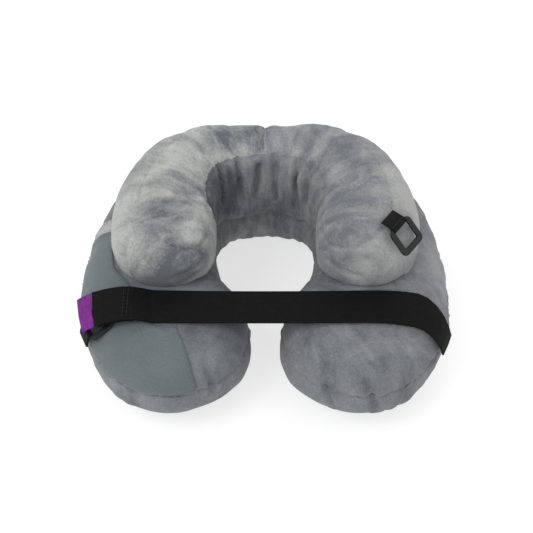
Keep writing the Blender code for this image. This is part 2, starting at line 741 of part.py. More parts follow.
down_slope = upper.point(RIGHT_RING_TURN, RIGHT_RING_RISE - 2) - upper.point(RIGHT_RING_TURN, RIGHT_RING_RISE)
right_frame = upper.frame(RIGHT_RING_TURN, RIGHT_RING_RISE, RING_LIFT, down_slope)
hung_ring("right", right_frame, RIGHT_RING_LEAN)
left_frame = lower.frame(LEFT_RING_TURN, LEFT_RING_RISE, LEFT_RING_LIFT)
hung_ring("left", left_frame, LEFT_RING_LEAN)


# ---- The hook inside the strap's end: a plate over the ring's far bar, its nose down in the window ----
hook_frame = left_frame @ Matrix.Rotation(LEFT_RING_LEAN, 4, "Y")
plate_low = RING_THICKNESS / 2 + TOUCH_GAP
hook = block("strap_hook", (HOOK_LENGTH, HOOK_WIDTH, HOOK_PLATE),
             (HOOK_NOSE_AT + HOOK_LENGTH / 2 - HOOK_NOSE / 2, 0, plate_low + HOOK_PLATE / 2),
             PLASTIC_BLACK, hook_frame)
nose_depth = RING_THICKNESS + TOUCH_GAP
fuse(hook, block("hook_nose", (HOOK_NOSE, HOOK_NOSE_WIDTH, nose_depth + HOOK_PLATE),
                 (HOOK_NOSE_AT, 0, plate_low + HOOK_PLATE / 2 - nose_depth / 2), matrix=hook_frame))
round_edges(hook, 0.3 * MM)
strap_hinge = Matrix.Translation(strap_place(STRAP_RIGHT_END, 0.0, STRAP_LIFT + STRAP_THICKNESS))
pivot("strap_pivot", strap_hinge, strap, fold, tag, hook)


# ---- Rear zip in the lower cushion's seam, on a circle through three points of the cover ----
zip_rise = EQUATOR_RISE
crest = lower.point(0.5, zip_rise)
flank = lower.point(0.5 + ZIP_REACH_TURN, zip_rise)
drop = crest.y - flank.y
zip_radius = (flank.x ** 2 + drop ** 2) / (2 * drop) - ZIP_SUNK
zip_centre = Vector((0, crest.y - ZIP_SUNK - zip_radius, ZIP_Z))
zip_half_angle = asin(flank.x / zip_radius)


def zip_point(share, height, stand, stretch=0.0):
    """A point round the zip: share 0..1 from its left end, height from its line, stand from the tape."""
    angle = (2 * share - 1) * (zip_half_angle + stretch)
    radius = zip_radius + stand
    return zip_centre + Vector((radius * sin(angle), radius * cos(angle), height))


def zip_band(name, low, high, inner, outer, look, start=0.0, stop=1.0, steps=ZIP_STEPS):
    def place(share, across):
        return zip_point(start + (stop - start) * share, (low + high) / 2 + across * (high - low), inner)
    return ribbon(name, place, steps, 1, outer - inner, look, (0, 1, 0))


def zip_frame(share, stand):
    """Axes at a point of the zip: X along it, Y outwards, Z up."""
    angle = (2 * share - 1) * zip_half_angle
    outward = Vector((sin(angle), cos(angle), 0))
    axes = Matrix((Vector((0, 0, 1)).cross(outward) * -1, outward, Vector((0, 0, 1)))).transposed().to_4x4()
    return Matrix.Translation(zip_point(share, 0, stand)) @ axes


half_gap = TOUCH_GAP / 2
coil_top = half_gap + ZIP_COIL_HEIGHT
tape_low = coil_top + TOUCH_GAP
tape_top = tape_low + ZIP_TAPE_HEIGHT
zip_band("zip_coil_upper", half_gap, coil_top, -ZIP_COIL_HALF_DEPTH, ZIP_COIL_HALF_DEPTH, COIL_GREY)
zip_band("zip_coil_lower", -coil_top, -half_gap, -ZIP_COIL_HALF_DEPTH, ZIP_COIL_HALF_DEPTH, COIL_GREY)
zip_band("zip_tape_upper", tape_low, tape_top, -ZIP_TAPE_THICKNESS, 0, TAPE_GREY)
zip_band("zip_tape_lower", -tape_top, -tape_low, -ZIP_TAPE_THICKNESS, 0, TAPE_GREY)
stop_turn = ZIP_STOP / (2 * zip_half_angle * zip_radius)
stop_gap = TOUCH_GAP / (2 * zip_half_angle * zip_radius)
for side, start in (("left", -stop_gap - stop_turn), ("right", 1 + stop_gap)):
    zip_band(f"zip_stop_{side}", -coil_top, coil_top, -ZIP_COIL_HALF_DEPTH, ZIP_COIL_HALF_DEPTH + 0.5 * MM,
             METAL_DARK, start, start + stop_turn, 2)

window_stretch = (ZIP_STOP + 2 * TOUCH_GAP) / zip_radius
window_height = tape_top + TOUCH_GAP


def zip_window_place(share, across):
    return zip_point(share, across * 2 * window_height, -12 * MM, window_stretch)


zip_window = ribbon("zip_window", zip_window_place, ZIP_STEPS, 1, 24 * MM, None, (0, 1, 0))


def zip_relief_place(share, across):
    return zip_point(share, across * 2 * (window_height + 1 * MM), -ZIP_COIL_HALF_DEPTH - TOUCH_GAP,
                     window_stretch + 1 * MM / zip_radius)


zip_relief = ribbon("zip_relief", zip_relief_place, ZIP_STEPS, 1, 24 * MM, None, (0, 1, 0))
for panel in (lower_top_left, lower_top_right, lower_bottom):
    cut(panel, zip_window)
cut(lower_chamber, zip_relief)

# The slider straddles the closed coils from outside, with a bail for the pull tab.
slider_frame = zip_frame(SLIDER_AT, 0)
slider_low = TOUCH_GAP
slider_face = ZIP_COIL_HALF_DEPTH + TOUCH_GAP + SLIDER_PLATE
slider = block("zip_slider", (SLIDER_LENGTH, slider_face - slider_low, SLIDER_HEIGHT),
               (0, (slider_low + slider_face) / 2, 0), METAL_DARK, slider_frame)
channel = 2 * (coil_top + TOUCH_GAP)
cut(slider, block("slider_channel", (2 * SLIDER_LENGTH, 2 * (ZIP_COIL_HALF_DEPTH + TOUCH_GAP), channel),
                  (0, 0, 0), matrix=slider_frame))
fuse(slider, block("slider_bail", (BAIL_LENGTH, BAIL_HEIGHT_OUT + 0.5 * MM, BAIL_WIDTH),
                   (0, slider_face + (BAIL_HEIGHT_OUT - 0.5 * MM) / 2, 0), matrix=slider_frame))
pull_axis = slider_face + BAIL_SLOT / 2
cut(slider, block("bail_slot", (BAIL_LENGTH - 2 * BAIL_LEG, BAIL_SLOT, 2 * BAIL_WIDTH),
                  (0, pull_axis, 0), matrix=slider_frame))

pull_frame = slider_frame @ Matrix.Translation((0, pull_axis, 0)) @ Matrix.Rotation(radians(-90), 4, "X")
pull_half = PULL_THICKNESS / 2
eye_half = BAIL_WIDTH / 2 + 0.4 * MM
pull_rim = rounded_rectangle(-pull_half, PULL_LENGTH, -PULL_WIDTH / 2, PULL_WIDTH / 2, 0.5 * MM, 2)
pull_eye = rounded_rectangle(pull_half, pull_half + PULL_EYE, -eye_half, eye_half, 0.2 * MM, 1)
pull = outline("zip_pull", [pull_rim, pull_eye], pull_half, METAL_DARK, pull_frame)
pivot("zip_pull_pivot", pull_frame, pull)
pivot("zip_slider_pivot", Matrix.Translation(zip_centre), slider)


# ---- Air valve at the back of the roll, to the left of the middle seam ----
valve_share = (VALVE_Z - UPPER_MID_Z) / UPPER_RISES[0]
valve_rise = np.degrees(asin(valve_share ** (UPPER_TOP_POWER / 2)))
valve = upper.frame(VALVE_TURN, valve_rise, 0.0)
seat = -VALVE_SEAT
flange_low = seat + TOUCH_GAP
flange_top = flange_low + FLANGE_THICKNESS
cut(upper_chamber, cylinder("valve_seat", FLANGE_RADIUS + TOUCH_GAP, seat, 20 * MM, matrix=valve))
cut(band_left, cylinder("valve_hole", COLLAR_RADIUS + TOUCH_GAP, -20 * MM, 20 * MM, matrix=valve))
turned("valve_flange", [(COLLAR_BORE, COLLAR_STAND), (COLLAR_RADIUS, COLLAR_STAND),
                        (COLLAR_RADIUS, flange_top), (FLANGE_RADIUS, flange_top),
                        (FLANGE_RADIUS, flange_low), (COLLAR_BORE, flange_low)],
       VALVE_GREY, valve)

turned("valve_eyelet", [(COLLAR_RADIUS + TOUCH_GAP, EYELET_TOP), (EYELET_RADIUS - 0.4 * MM, EYELET_TOP),
                        (EYELET_RADIUS, EYELET_TOP - 0.4 * MM), (EYELET_RADIUS, EYELET_LOW),
                        (COLLAR_RADIUS + TOUCH_GAP, EYELET_LOW)], PLASTIC_BLACK, valve)

# The plug fills the collar's bore, and turns out on a knuckle at the collar's left side.
lip_low = COLLAR_STAND + TOUCH_GAP
lip_top = lip_low + PLUG_LIP
plug = cylinder("valve_plug", COLLAR_RADIUS - 0.6 * MM, lip_low, lip_top, VALVE_GREY, valve)
fuse(plug, cylinder("plug_stem", PLUG_TOP_RADIUS, -PLUG_DEPTH + lip_low, lip_low + 0.4 * MM, matrix=valve,
                    tip_radius=PLUG_TIP_RADIUS))
fuse(plug, block("plug_arm", (KNUCKLE_LENGTH, VALVE_HINGE_OFFSET - 4 * MM, PLUG_LIP - 0.3 * MM),
                 (0, -(VALVE_HINGE_OFFSET + 4 * MM) / 2, (lip_low + lip_top) / 2), matrix=valve))
knuckle_turn = Matrix.Rotation(radians(90), 4, "Y")
plug_hinge = valve @ Matrix.Translation((0, -VALVE_HINGE_OFFSET, (lip_low + lip_top) / 2))
knuckle_half = KNUCKLE_LENGTH / 2 + 0.2 * MM
fuse(plug, cylinder("plug_knuckle", KNUCKLE_RADIUS, -knuckle_half, knuckle_half,
                    matrix=plug_hinge @ knuckle_turn, steps=12))
cut(plug, cylinder("plug_mouth", MOUTH_RADIUS, -20 * MM, 20 * MM, matrix=valve, steps=20))
pivot("valve_plug_pivot", plug_hinge, plug)
flap_top = -PLUG_DEPTH + lip_low - TOUCH_GAP
cylinder("valve_flap", FLAP_RADIUS, flap_top - FLAP_THICKNESS, flap_top, ELASTIC_BLACK, valve)

# The cap closes the plug's mouth, and turns out on its own knuckle at the opposite side.
cap_low = lip_top + TOUCH_GAP
cap_top = cap_low + CAP_HEIGHT
cap = cylinder("valve_cap", CAP_RADIUS, cap_low, cap_top, VALVE_GREY, valve)
fuse(cap, cylinder("cap_nib", MOUTH_RADIUS - 0.4 * MM, cap_low - CAP_NIB, cap_low + 0.4 * MM, matrix=valve,
                   tip_radius=MOUTH_RADIUS - 0.9 * MM, steps=20))
fuse(cap, block("cap_arm", (KNUCKLE_LENGTH, CAP_HINGE_OFFSET - 4 * MM, 1.1 * MM),
                (0, (CAP_HINGE_OFFSET + 4 * MM) / 2, cap_low + 0.55 * MM), matrix=valve))
cap_hinge = valve @ Matrix.Translation((0, CAP_HINGE_OFFSET, cap_low + 0.55 * MM))
fuse(cap, cylinder("cap_knuckle", KNUCKLE_RADIUS, -knuckle_half, knuckle_half,
                   matrix=cap_hinge @ knuckle_turn, steps=12))
round_edges(cap, 0.4 * MM)
pivot("valve_cap_pivot", cap_hinge, cap)
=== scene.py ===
"""The neck pillow's looks: two swollen velour cushions, a knit pocket, strap, rings, zip and valve."""
import json
from math import atan2, cos, exp, pi, radians, sin

import bmesh
import bpy
import numpy as np
from mathutils import Matrix, Vector, noise
from mathutils.bvhtree import BVHTree


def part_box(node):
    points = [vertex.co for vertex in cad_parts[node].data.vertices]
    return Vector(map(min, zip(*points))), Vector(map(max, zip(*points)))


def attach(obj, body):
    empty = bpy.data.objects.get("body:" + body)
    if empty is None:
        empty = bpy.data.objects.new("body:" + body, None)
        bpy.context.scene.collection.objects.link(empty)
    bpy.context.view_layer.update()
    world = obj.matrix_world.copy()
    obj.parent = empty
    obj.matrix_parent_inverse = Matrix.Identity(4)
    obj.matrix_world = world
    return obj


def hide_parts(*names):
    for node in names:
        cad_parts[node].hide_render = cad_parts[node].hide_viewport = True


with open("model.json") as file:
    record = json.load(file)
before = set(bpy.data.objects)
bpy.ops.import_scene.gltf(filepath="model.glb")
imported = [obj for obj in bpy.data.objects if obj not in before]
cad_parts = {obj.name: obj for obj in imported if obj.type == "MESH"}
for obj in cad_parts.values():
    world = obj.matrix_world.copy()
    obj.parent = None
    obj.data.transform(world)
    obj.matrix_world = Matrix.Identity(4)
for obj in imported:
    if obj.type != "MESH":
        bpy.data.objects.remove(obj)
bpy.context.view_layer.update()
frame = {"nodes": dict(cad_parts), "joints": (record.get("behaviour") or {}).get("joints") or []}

nodes = frame["nodes"]
joints = {joint["name"]: joint for joint in frame["joints"]}
MM = 0.001


# ---- Node materials ----
ROLL_RADIUS = 0.1                # of the U's rolls in plan, which turns an angle into a length


class Shader:
    """Builds one procedural material on a Principled shader."""

    def __init__(self, name, roughness, metallic=0.0, sheen=0.0, specular=0.3, coat=0.0):
        self.material = bpy.data.materials.new(name)
        self.material.use_nodes = True
        self.tree = self.material.node_tree
        self.bsdf = self.tree.nodes["Principled BSDF"]
        self.bsdf.inputs["Roughness"].default_value = roughness
        self.bsdf.inputs["Metallic"].default_value = metallic
        self.bsdf.inputs["Sheen Weight"].default_value = sheen
        self.bsdf.inputs["Sheen Roughness"].default_value = 0.45
        self.bsdf.inputs["Specular IOR Level"].default_value = specular
        self.bsdf.inputs["Coat Weight"].default_value = coat
        self.place = self.tree.nodes.new("ShaderNodeTexCoord").outputs["Object"]
        self.height = None

    def link(self, a, b):
        self.tree.links.new(a, b)

    def noise(self, scale, detail=2.0, distortion=0.0, roughness=0.5, place=None):
        node = self.tree.nodes.new("ShaderNodeTexNoise")
        node.inputs["Scale"].default_value = scale
        node.inputs["Detail"].default_value = detail
        node.inputs["Roughness"].default_value = roughness
        node.inputs["Distortion"].default_value = distortion
        self.link(place or self.place, node.inputs["Vector"])
        return node.outputs["Fac"]

    def across_roll(self, stretch):
        """Coordinates that are drawn out across the U's rolls, towards and away from its middle."""
        split = self.tree.nodes.new("ShaderNodeSeparateXYZ")
        self.link(self.place, split.inputs[0])
        x, y, z = split.outputs
        turn = self.math("ARCTAN2", x, y)
        squares = self.math("ADD", self.math("MULTIPLY", x, x), self.math("MULTIPLY", y, y))
        radius = self.math("SQRT", squares)
        join = self.tree.nodes.new("ShaderNodeCombineXYZ")
        self.link(self.math("MULTIPLY", turn, ROLL_RADIUS), join.inputs[0])
        self.link(self.math("MULTIPLY", radius, stretch), join.inputs[1])
        self.link(self.math("MULTIPLY", z, stretch), join.inputs[2])
        return join.outputs[0]

    def spot(self, middle, radius, amount):
        """A soft round patch in space that adds the amount at its middle and fades to its radius."""
        apart = self.tree.nodes.new("ShaderNodeVectorMath")
        apart.operation = "DISTANCE"
        self.link(self.place, apart.inputs[0])
        apart.inputs[1].default_value = middle
        fade = self.tree.nodes.new("ShaderNodeMapRange")
        fade.interpolation_type = "SMOOTHSTEP"
        fade.inputs["From Min"].default_value = 0.25 * radius
        fade.inputs["From Max"].default_value = 1.25 * radius
        fade.inputs["To Min"].default_value = amount
        fade.inputs["To Max"].default_value = 0.0
        self.link(apart.outputs["Value"], fade.inputs["Value"])
        return fade.outputs["Result"]

    def wave(self, axis, wavelength, distortion=0.0, turn=(0, 0, 0)):
        node = self.tree.nodes.new("ShaderNodeTexWave")
        node.bands_direction = axis
        node.inputs["Scale"].default_value = 2 * pi / (20 * wavelength)
        node.inputs["Distortion"].default_value = distortion
        mapping = self.tree.nodes.new("ShaderNodeMapping")
        mapping.inputs["Rotation"].default_value = turn
        self.link(self.place, mapping.inputs["Vector"])
        self.link(mapping.outputs["Vector"], node.inputs["Vector"])
        return node.outputs["Fac"]

    def math(self, operation, a, b=0.0):
        node = self.tree.nodes.new("ShaderNodeMath")
        node.operation = operation
        for socket, value in zip(node.inputs, (a, b)):
            if isinstance(value, (int, float)):
                socket.default_value = value
            else:
                self.link(value, socket)
        return node.outputs[0]

    def ramp(self, value, stops):
        node = self.tree.nodes.new("ShaderNodeValToRGB")
        ends = node.color_ramp.elements
        for i, (at, colour) in enumerate(stops):
            stop = ends[i] if i < 2 else ends.new(at)
            stop.position = at
            stop.color = (*colour, 1)
        self.link(value, node.inputs["Fac"])
        return node.outputs["Color"]

    def mix(self, share, a, b, mode="MIX"):
        node = self.tree.nodes.new("ShaderNodeMix")
        node.data_type = "RGBA"
        node.blend_type = mode
        for socket, value in ((node.inputs["Factor"], share), (node.inputs["A"], a), (node.inputs["B"], b)):
            if isinstance(value, (int, float)):
                socket.default_value = value
            elif isinstance(value, tuple):
                socket.default_value = (*value, 1)
            else:
                self.link(value, socket)
        return node.outputs["Result"]

    def colour(self, value):
        self.link(value, self.bsdf.inputs["Base Color"])

    def bump(self, value, depth, strength=1.0):
        node = self.tree.nodes.new("ShaderNodeBump")
        node.inputs["Strength"].default_value = strength
        node.inputs["Distance"].default_value = depth
        self.link(value, node.inputs["Height"])
        if self.height:
            self.link(self.height, node.inputs["Normal"])
        self.height = node.outputs["Normal"]
        self.link(self.height, self.bsdf.inputs["Normal"])


def scaled(colour, factor):
    return tuple(channel * factor for channel in colour)


def velour(name, colour, dark_tone, share, spots=()):
    """Short pile: feathered light and dark patches, partly where the nap lies the other way and partly
    painted sheen, streaks, clumps and fine grain.
    """
    shader = Shader(name, 0.93, sheen=0.12, specular=0.08)
    # lighter and darker patches and streaks of pile: partly the nap lying the other way, partly painted sheen
    patches = shader.noise(30, 5.0, distortion=0.7, roughness=0.62)
    streaks = shader.noise(85, 4.0, distortion=0.5, roughness=0.6, place=shader.across_roll(0.32))
    fuzz = shader.noise(420, 3.0, roughness=0.7)
    field = shader.math("ADD", shader.math("MULTIPLY", patches, 0.42), shader.math("MULTIPLY", streaks, 0.4))
    field = shader.math("ADD", field, shader.math("MULTIPLY", fuzz, 0.18))
    for middle, radius, amount in spots:
        field = shader.math("ADD", field, shader.spot(middle, radius, amount))
    edge = 0.5 + (share - 0.5) * 0.3
    half = scaled(tuple(a + b for a, b in zip(colour, dark_tone)), 0.5)
    tone = shader.ramp(field, ((edge - 0.13, dark_tone), (edge + 0.13, colour), (edge, half)))
    grain = shader.noise(1500, 2.0)
    speck = shader.ramp(grain, ((0.28, (0.74,) * 3), (0.72, (1.2,) * 3)))
    shader.colour(shader.mix(1.0, tone, speck, "MULTIPLY"))
    shader.bump(fuzz, 0.5 * MM, 0.5)
    shader.bump(grain, 0.25 * MM, 0.6)
    return shader.material


def knit(name, colour):
    """A fine smooth knit: upright ribs crossed by rows of loops."""
    shader = Shader(name, 0.85, sheen=0.2, specular=0.15)
    ribs = shader.wave("X", 0.7 * MM, turn=(0, 0, radians(45)))
    rows = shader.wave("Z", 0.6 * MM)
    slant = shader.wave("X", 0.7 * MM, turn=(0, 0, radians(-45)))
    weave = shader.math("MULTIPLY", shader.math("MAXIMUM", ribs, slant), rows)
    cloud = shader.noise(30, 3.0)
    tone = shader.ramp(cloud, ((0.3, scaled(colour, 0.92)), (0.7, scaled(colour, 1.08))))
    # painted shade: the knit is a little darker where its weave is low, between the loops
    thread = shader.ramp(weave, ((0.1, (0.94,) * 3), (0.8, (1.03,) * 3)))
    lint = shader.ramp(shader.noise(900), ((0.25, (0.88,) * 3), (0.75, (1.1,) * 3)))
    shader.colour(shader.mix(1.0, shader.mix(1.0, tone, thread, "MULTIPLY"), lint, "MULTIPLY"))
    shader.bump(weave, 0.06 * MM, 0.5)
    shader.bump(shader.noise(900), 0.15 * MM, 0.6)
    return shader.material


def woven(name, colour, along, across, rib=1.6 * MM, pick=0.8 * MM, turn=(0, 0, 0), lift=1.5):
    """Elastic or webbing: ribs running one way, finer picks the other, darker between the ribs as painted
    shade and paler on their tops, and worn a little paler in specks of lint.
    """
    shader = Shader(name, 0.72, sheen=0.01, specular=0.10)
    ribs = shader.wave(along, rib, turn=turn)
    picks = shader.wave(across, pick, 0.6, turn=turn)
    weave = shader.math("ADD", shader.math("MULTIPLY", ribs, 0.7), shader.math("MULTIPLY", picks, 0.3))
    lint = shader.noise(240, 4.0)
    # painted shade: the weave's low parts are darker than its tops
    tone = shader.ramp(weave, ((0.1, scaled(colour, 0.55)), (0.9, scaled(colour, lift))))
    dust = shader.ramp(lint, ((0.35, (0.9,) * 3), (0.75, (1.35,) * 3)))
    shader.colour(shader.mix(1.0, tone, dust, "MULTIPLY"))
    shader.bump(weave, 0.35 * MM, 0.8)
    return shader.material


def moulded(name, colour, roughness, coat=0.0, metallic=0.0):
    """Moulded plastic or plated metal: faint mottling, fine grain and varied gloss."""
    shader = Shader(name, roughness, metallic=metallic, specular=0.38, coat=coat)
    mottle = shader.noise(180, 4.0)
    shader.colour(shader.ramp(mottle, ((0.3, scaled(colour, 0.85)), (0.7, scaled(colour, 1.2)))))
    gloss = shader.math("ADD", shader.math("MULTIPLY", shader.noise(70, 3.0), 0.22), roughness - 0.11)
    shader.link(gloss, shader.bsdf.inputs["Roughness"])
    shader.bump(shader.noise(1300, 2.0), 0.06 * MM, 0.5)
    return shader.material


LIGHT, DARK = (0.41, 0.416, 0.40), (0.115, 0.127, 0.14)
MID, PALE = (0.21, 0.222, 0.24), (0.36, 0.365, 0.355)
# where the velour is darker (below 0) or lighter (above 0), partly nap brushed that way and partly painted
# sheen: middle, radius, amount
LEFT_NAP_AND_SHEEN = (
    ((-0.078, -0.010, 0.137), 0.026, -0.09),
    ((-0.062, -0.042, 0.112), 0.028, -0.13),
    ((-0.085, -0.048, 0.092), 0.022, -0.08),
    ((-0.088, 0.048, 0.136), 0.024, 0.07),
    ((-0.030, 0.075, 0.137), 0.017, -0.12),
    ((-0.058, -0.024, 0.128), 0.014, 0.14),
    ((-0.100, -0.045, 0.115), 0.014, 0.03),
    ((-0.116, -0.010, 0.112), 0.030, 0.16),
)
RIGHT_NAP_AND_SHEEN = (
    ((0.088, -0.040, 0.112), 0.026, 0.05),
    ((0.118, 0.020, 0.118), 0.036, 0.16),
    ((0.058, 0.036, 0.137), 0.012, 0.10),
    ((0.072, -0.020, 0.136), 0.034, -0.03),
    ((0.060, 0.075, 0.136), 0.030, -0.02),
    ((0.052, -0.040, 0.108), 0.012, -0.12),
)
LOOKS = {
    "crown_left": velour("velour_crown_left", LIGHT, DARK, 0.42, LEFT_NAP_AND_SHEEN),
    "crown_right": velour("velour_crown_right", PALE, (0.145, 0.155, 0.172), 0.66, RIGHT_NAP_AND_SHEEN),
    "band_left": velour("velour_band_left", LIGHT, DARK, 0.46, LEFT_NAP_AND_SHEEN),
    "band_right": velour("velour_band_right", PALE, (0.145, 0.155, 0.172), 0.56, RIGHT_NAP_AND_SHEEN),
    "top_left": velour("velour_top_left", MID, (0.115, 0.125, 0.14), 0.55),
    "top_right": velour("velour_top_right", (0.27, 0.28, 0.285), (0.12, 0.13, 0.145), 0.62,
                        (((0.138, -0.010, 0.060), 0.035, 0.12),)),
    "bottom": velour("velour_bottom", (0.23, 0.24, 0.255), (0.125, 0.135, 0.15), 0.5),
    # the neck's velour is a darker copy, partly its own tone and partly painted shade of the neck hole; its
    # darker patch on the left half is painted shade and its lighter patch on the right half is painted light,
    # as the key falls from the left
    "neck": velour("velour_neck_painted_shade", (0.27, 0.28, 0.28), (0.085, 0.09, 0.105), 0.5,
                   (((-0.042, 0.040, 0.105), 0.034, -0.16), ((0.036, 0.038, 0.105), 0.026, 0.08))),
    "knit": knit("knit_pocket", (0.125, 0.146, 0.155)),
    "hem": velour("velour_pocket_hem", LIGHT, (0.26, 0.27, 0.275), 0.35),
    "elastic": woven("elastic_weave", (0.0042, 0.0043, 0.0046), "Y", "X"),
    "webbing": woven("grosgrain_weave", (0.0075, 0.0075, 0.0078), "X", "Z", rib=1.3 * MM,
                     turn=(0, 0, radians(37))),
    "label": woven("label_weave", (0.21, 0.032, 0.26), "Y", "X", rib=0.5 * MM, pick=0.5 * MM, lift=1.15),
    "tape": woven("zip_tape_weave", (0.10, 0.105, 0.115), "X", "Z", rib=0.7 * MM, pick=0.6 * MM),
    "thread": woven("thread_twist", (0.02, 0.02, 0.021), "X", "Y", rib=0.3 * MM, pick=0.4 * MM),
    "thread_grey": woven("thread_twist_grey", (0.20, 0.21, 0.22), "X", "Y", rib=0.3 * MM, pick=0.4 * MM),
    "thread_pale": woven("thread_twist_pale", (0.045, 0.046, 0.048), "X", "Y", rib=0.3 * MM, pick=0.4 * MM),
    "plastic": moulded("plastic_black", (0.006, 0.006, 0.0065), 0.4),
    "coil": moulded("zip_coil_nylon", (0.06, 0.062, 0.066), 0.4),
    "metal": moulded("plated_metal", (0.14, 0.14, 0.15), 0.34, metallic=0.9),
    "vinyl": moulded("valve_vinyl", (0.20, 0.205, 0.215), 0.4, coat=0.15),
    "rubber": moulded("valve_rubber", (0.02, 0.02, 0.022), 0.55),
}


# ---- Meshes ----
def tree_of(obj):
    mesh = obj.data
    places = [vert.co.copy() for vert in mesh.vertices]
    return BVHTree.FromPolygons(places, [list(face.vertices) for face in mesh.polygons])


TREES = {}


def node_tree(node):
    if node not in TREES:
        TREES[node] = tree_of(nodes[node])
    return TREES[node]


def near(node, point):
    """The nearest place on a CAD node, its normal there and the distance."""
    place, normal, _, distance = node_tree(node).find_nearest(point)
    return place, normal, distance


def object_from(name, bm, look=None):
    mesh = bpy.data.meshes.new(name)
    bm.to_mesh(mesh)
    bm.free()
    mesh.shade_smooth()
    obj = bpy.data.objects.new(name, mesh)
    bpy.context.scene.collection.objects.link(obj)
    if look:
        mesh.materials.append(LOOKS[look])
    return obj


def applied(obj):
    """The object with its modifiers made part of its mesh."""
    bpy.context.view_layer.update()
    seen = obj.evaluated_get(bpy.context.evaluated_depsgraph_get())
    mesh = bpy.data.meshes.new_from_object(seen)
    obj.modifiers.clear()
    obj.data = mesh
    return obj


def points_of(mesh):
    co = np.zeros(len(mesh.vertices) * 3, np.float32)
    mesh.vertices.foreach_get("co", co)
    return co.reshape(-1, 3).astype(float)


VOXEL = 4.5 * MM
RELAX_STEPS = 9
PRESSURE = 4
HELD_WIDTH = 4.5 * MM            # of the band beside a seam that the cloth is pinned along
START_DEPTH = 1.2 * MM           # the form starts this far inside the cover's face, then swells
SKIN_DEPTH = 1.9 * MM            # from the cover's face down to the CAD chamber
SWELL_CAP = 4.0 * MM
FRAMES = 20


def remeshed(name, chamber):
    bm = bmesh.new()
    bm.from_mesh(nodes[chamber].data)
    bmesh.ops.remove_doubles(bm, verts=bm.verts, dist=0.00002)
    obj = object_from(name, bm)
    grow = obj.modifiers.new("grow", "DISPLACE")
    grow.strength = SKIN_DEPTH - START_DEPTH
    grow.mid_level = 0.0
    voxels = obj.modifiers.new("voxels", "REMESH")
    voxels.mode = "VOXEL"
    voxels.voxel_size = VOXEL
    relax = obj.modifiers.new("relax", "SMOOTH")
    relax.factor = 0.5
    relax.iterations = RELAX_STEPS
    return applied(obj)


def seam_of(panels, point):
    """The nearest panel to a point, and the place and distance of the seam with the next one."""
    found = sorted(((near(panel, point), panel) for panel in panels), key=lambda item: item[0][2])
    return found[0][1], found[1][0][0], found[1][0][2]


def inflate(obj, panels):
    """Cloth under pressure, held at the seams, so that each panel crowns between them."""
    rest = points_of(obj.data)
    held = obj.vertex_groups.new(name="seams")
    for i, point in enumerate(rest):
        gap = seam_of(panels, Vector(point))[2]
        weight = exp(-(gap / HELD_WIDTH) ** 2)
        if weight > 0.02:
            held.add([i], weight, "REPLACE")
    cloth = obj.modifiers.new("cloth", "CLOTH")
    settings = cloth.settings
    settings.quality = 5
    settings.mass = 0.15
    settings.tension_stiffness = 12
    settings.compression_stiffness = 12
    settings.shear_stiffness = 5
    settings.bending_stiffness = 0.4
    settings.use_pressure = True
    settings.uniform_pressure_force = PRESSURE
    settings.shrink_min = -0.03
    settings.vertex_group_mass = "seams"
    settings.effector_weights.gravity = 0
    cloth.point_cache.frame_start = 1
    cloth.point_cache.frame_end = FRAMES
    scene = bpy.context.scene
    for number in range(1, FRAMES + 1):
        scene.frame_set(number)
    seen = obj.evaluated_get(bpy.context.evaluated_depsgraph_get())
    moved = points_of(seen.data) - rest
    obj.modifiers.clear()
    obj.vertex_groups.clear()
    scene.frame_set(1)
    lengths = np.linalg.norm(moved, axis=1, keepdims=True)
    moved *= np.minimum(1.0, SWELL_CAP / np.maximum(lengths, 1e-9))
    obj.data.vertices.foreach_set("co", (rest + moved).astype(np.float32).ravel())
    obj.data.update()
    return obj


def subdivided(obj):
    step = obj.modifiers.new("finer", "SUBSURF")
    step.levels = 1
    return applied(obj)


# ---- Places on the cover that other pieces need clear ----
strap_low, strap_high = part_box("front_strap")
zip_axis = Vector(joints["zip_travel"]["pos_m"])
tape_points = points_of(nodes["zip_tape_upper"].data)
tape_radius = float(np.hypot(tape_points[:, 0] - zip_axis.x, tape_points[:, 1] - zip_axis.y).max())
stop_low, stop_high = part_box("zip_stop_left")
zip_half_angle = atan2(-stop_low.x, stop_high.y - zip_axis.y)
zip_low, zip_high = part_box("zip_tape_lower")[0].z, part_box("zip_tape_upper")[1].z
valve_middle = Vector(points_of(nodes["valve_flange"].data).mean(axis=0))
valve_up = Vector(joints["valve_plug_swing"]["axis"]).normalized()
valve_out = Vector(points_of(nodes["valve_cap"].data).mean(axis=0)) - valve_middle
valve_out = (valve_out - valve_up * valve_out.dot(valve_up)).normalized()
eyelet_level = min(Vector(point).dot(valve_out) for point in points_of(nodes["valve_eyelet"].data))


RING_PIECES = ("ring_right", "ring_webbing_right", "ring_left", "ring_webbing_left")
RING_BOXES = [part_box(node) for node in RING_PIECES]
RING_REACH = 3 * MM
FREE_ROOM = 3.2 * MM


def headroom(point):
    """How far above the CAD cover's face the fabric may stand at a point."""
    room = FREE_ROOM
    if strap_low.y - 2 * MM < point.y < strap_high.y + 2 * MM and point.z > strap_low.z - 4 * MM:
        edge = min(point.y - strap_low.y, strap_high.y - point.y)
        room = 0.2 * MM if edge < 3 * MM else -0.5 * MM
    for low, high in RING_BOXES:
        if all(low[i] - RING_REACH < point[i] < high[i] + RING_REACH for i in range(3)):
            room = min(room, -0.2 * MM)
    return room


ZIP_RECESS = 2.9 * MM            # below the tapes' outer face
ZIP_MARGIN = 0.5 * MM
VALVE_REACH, PIT_RADIUS = 15 * MM, 9.3 * MM
EYELET_GAP, PIT_DEPTH = 0.4 * MM, 7.2 * MM


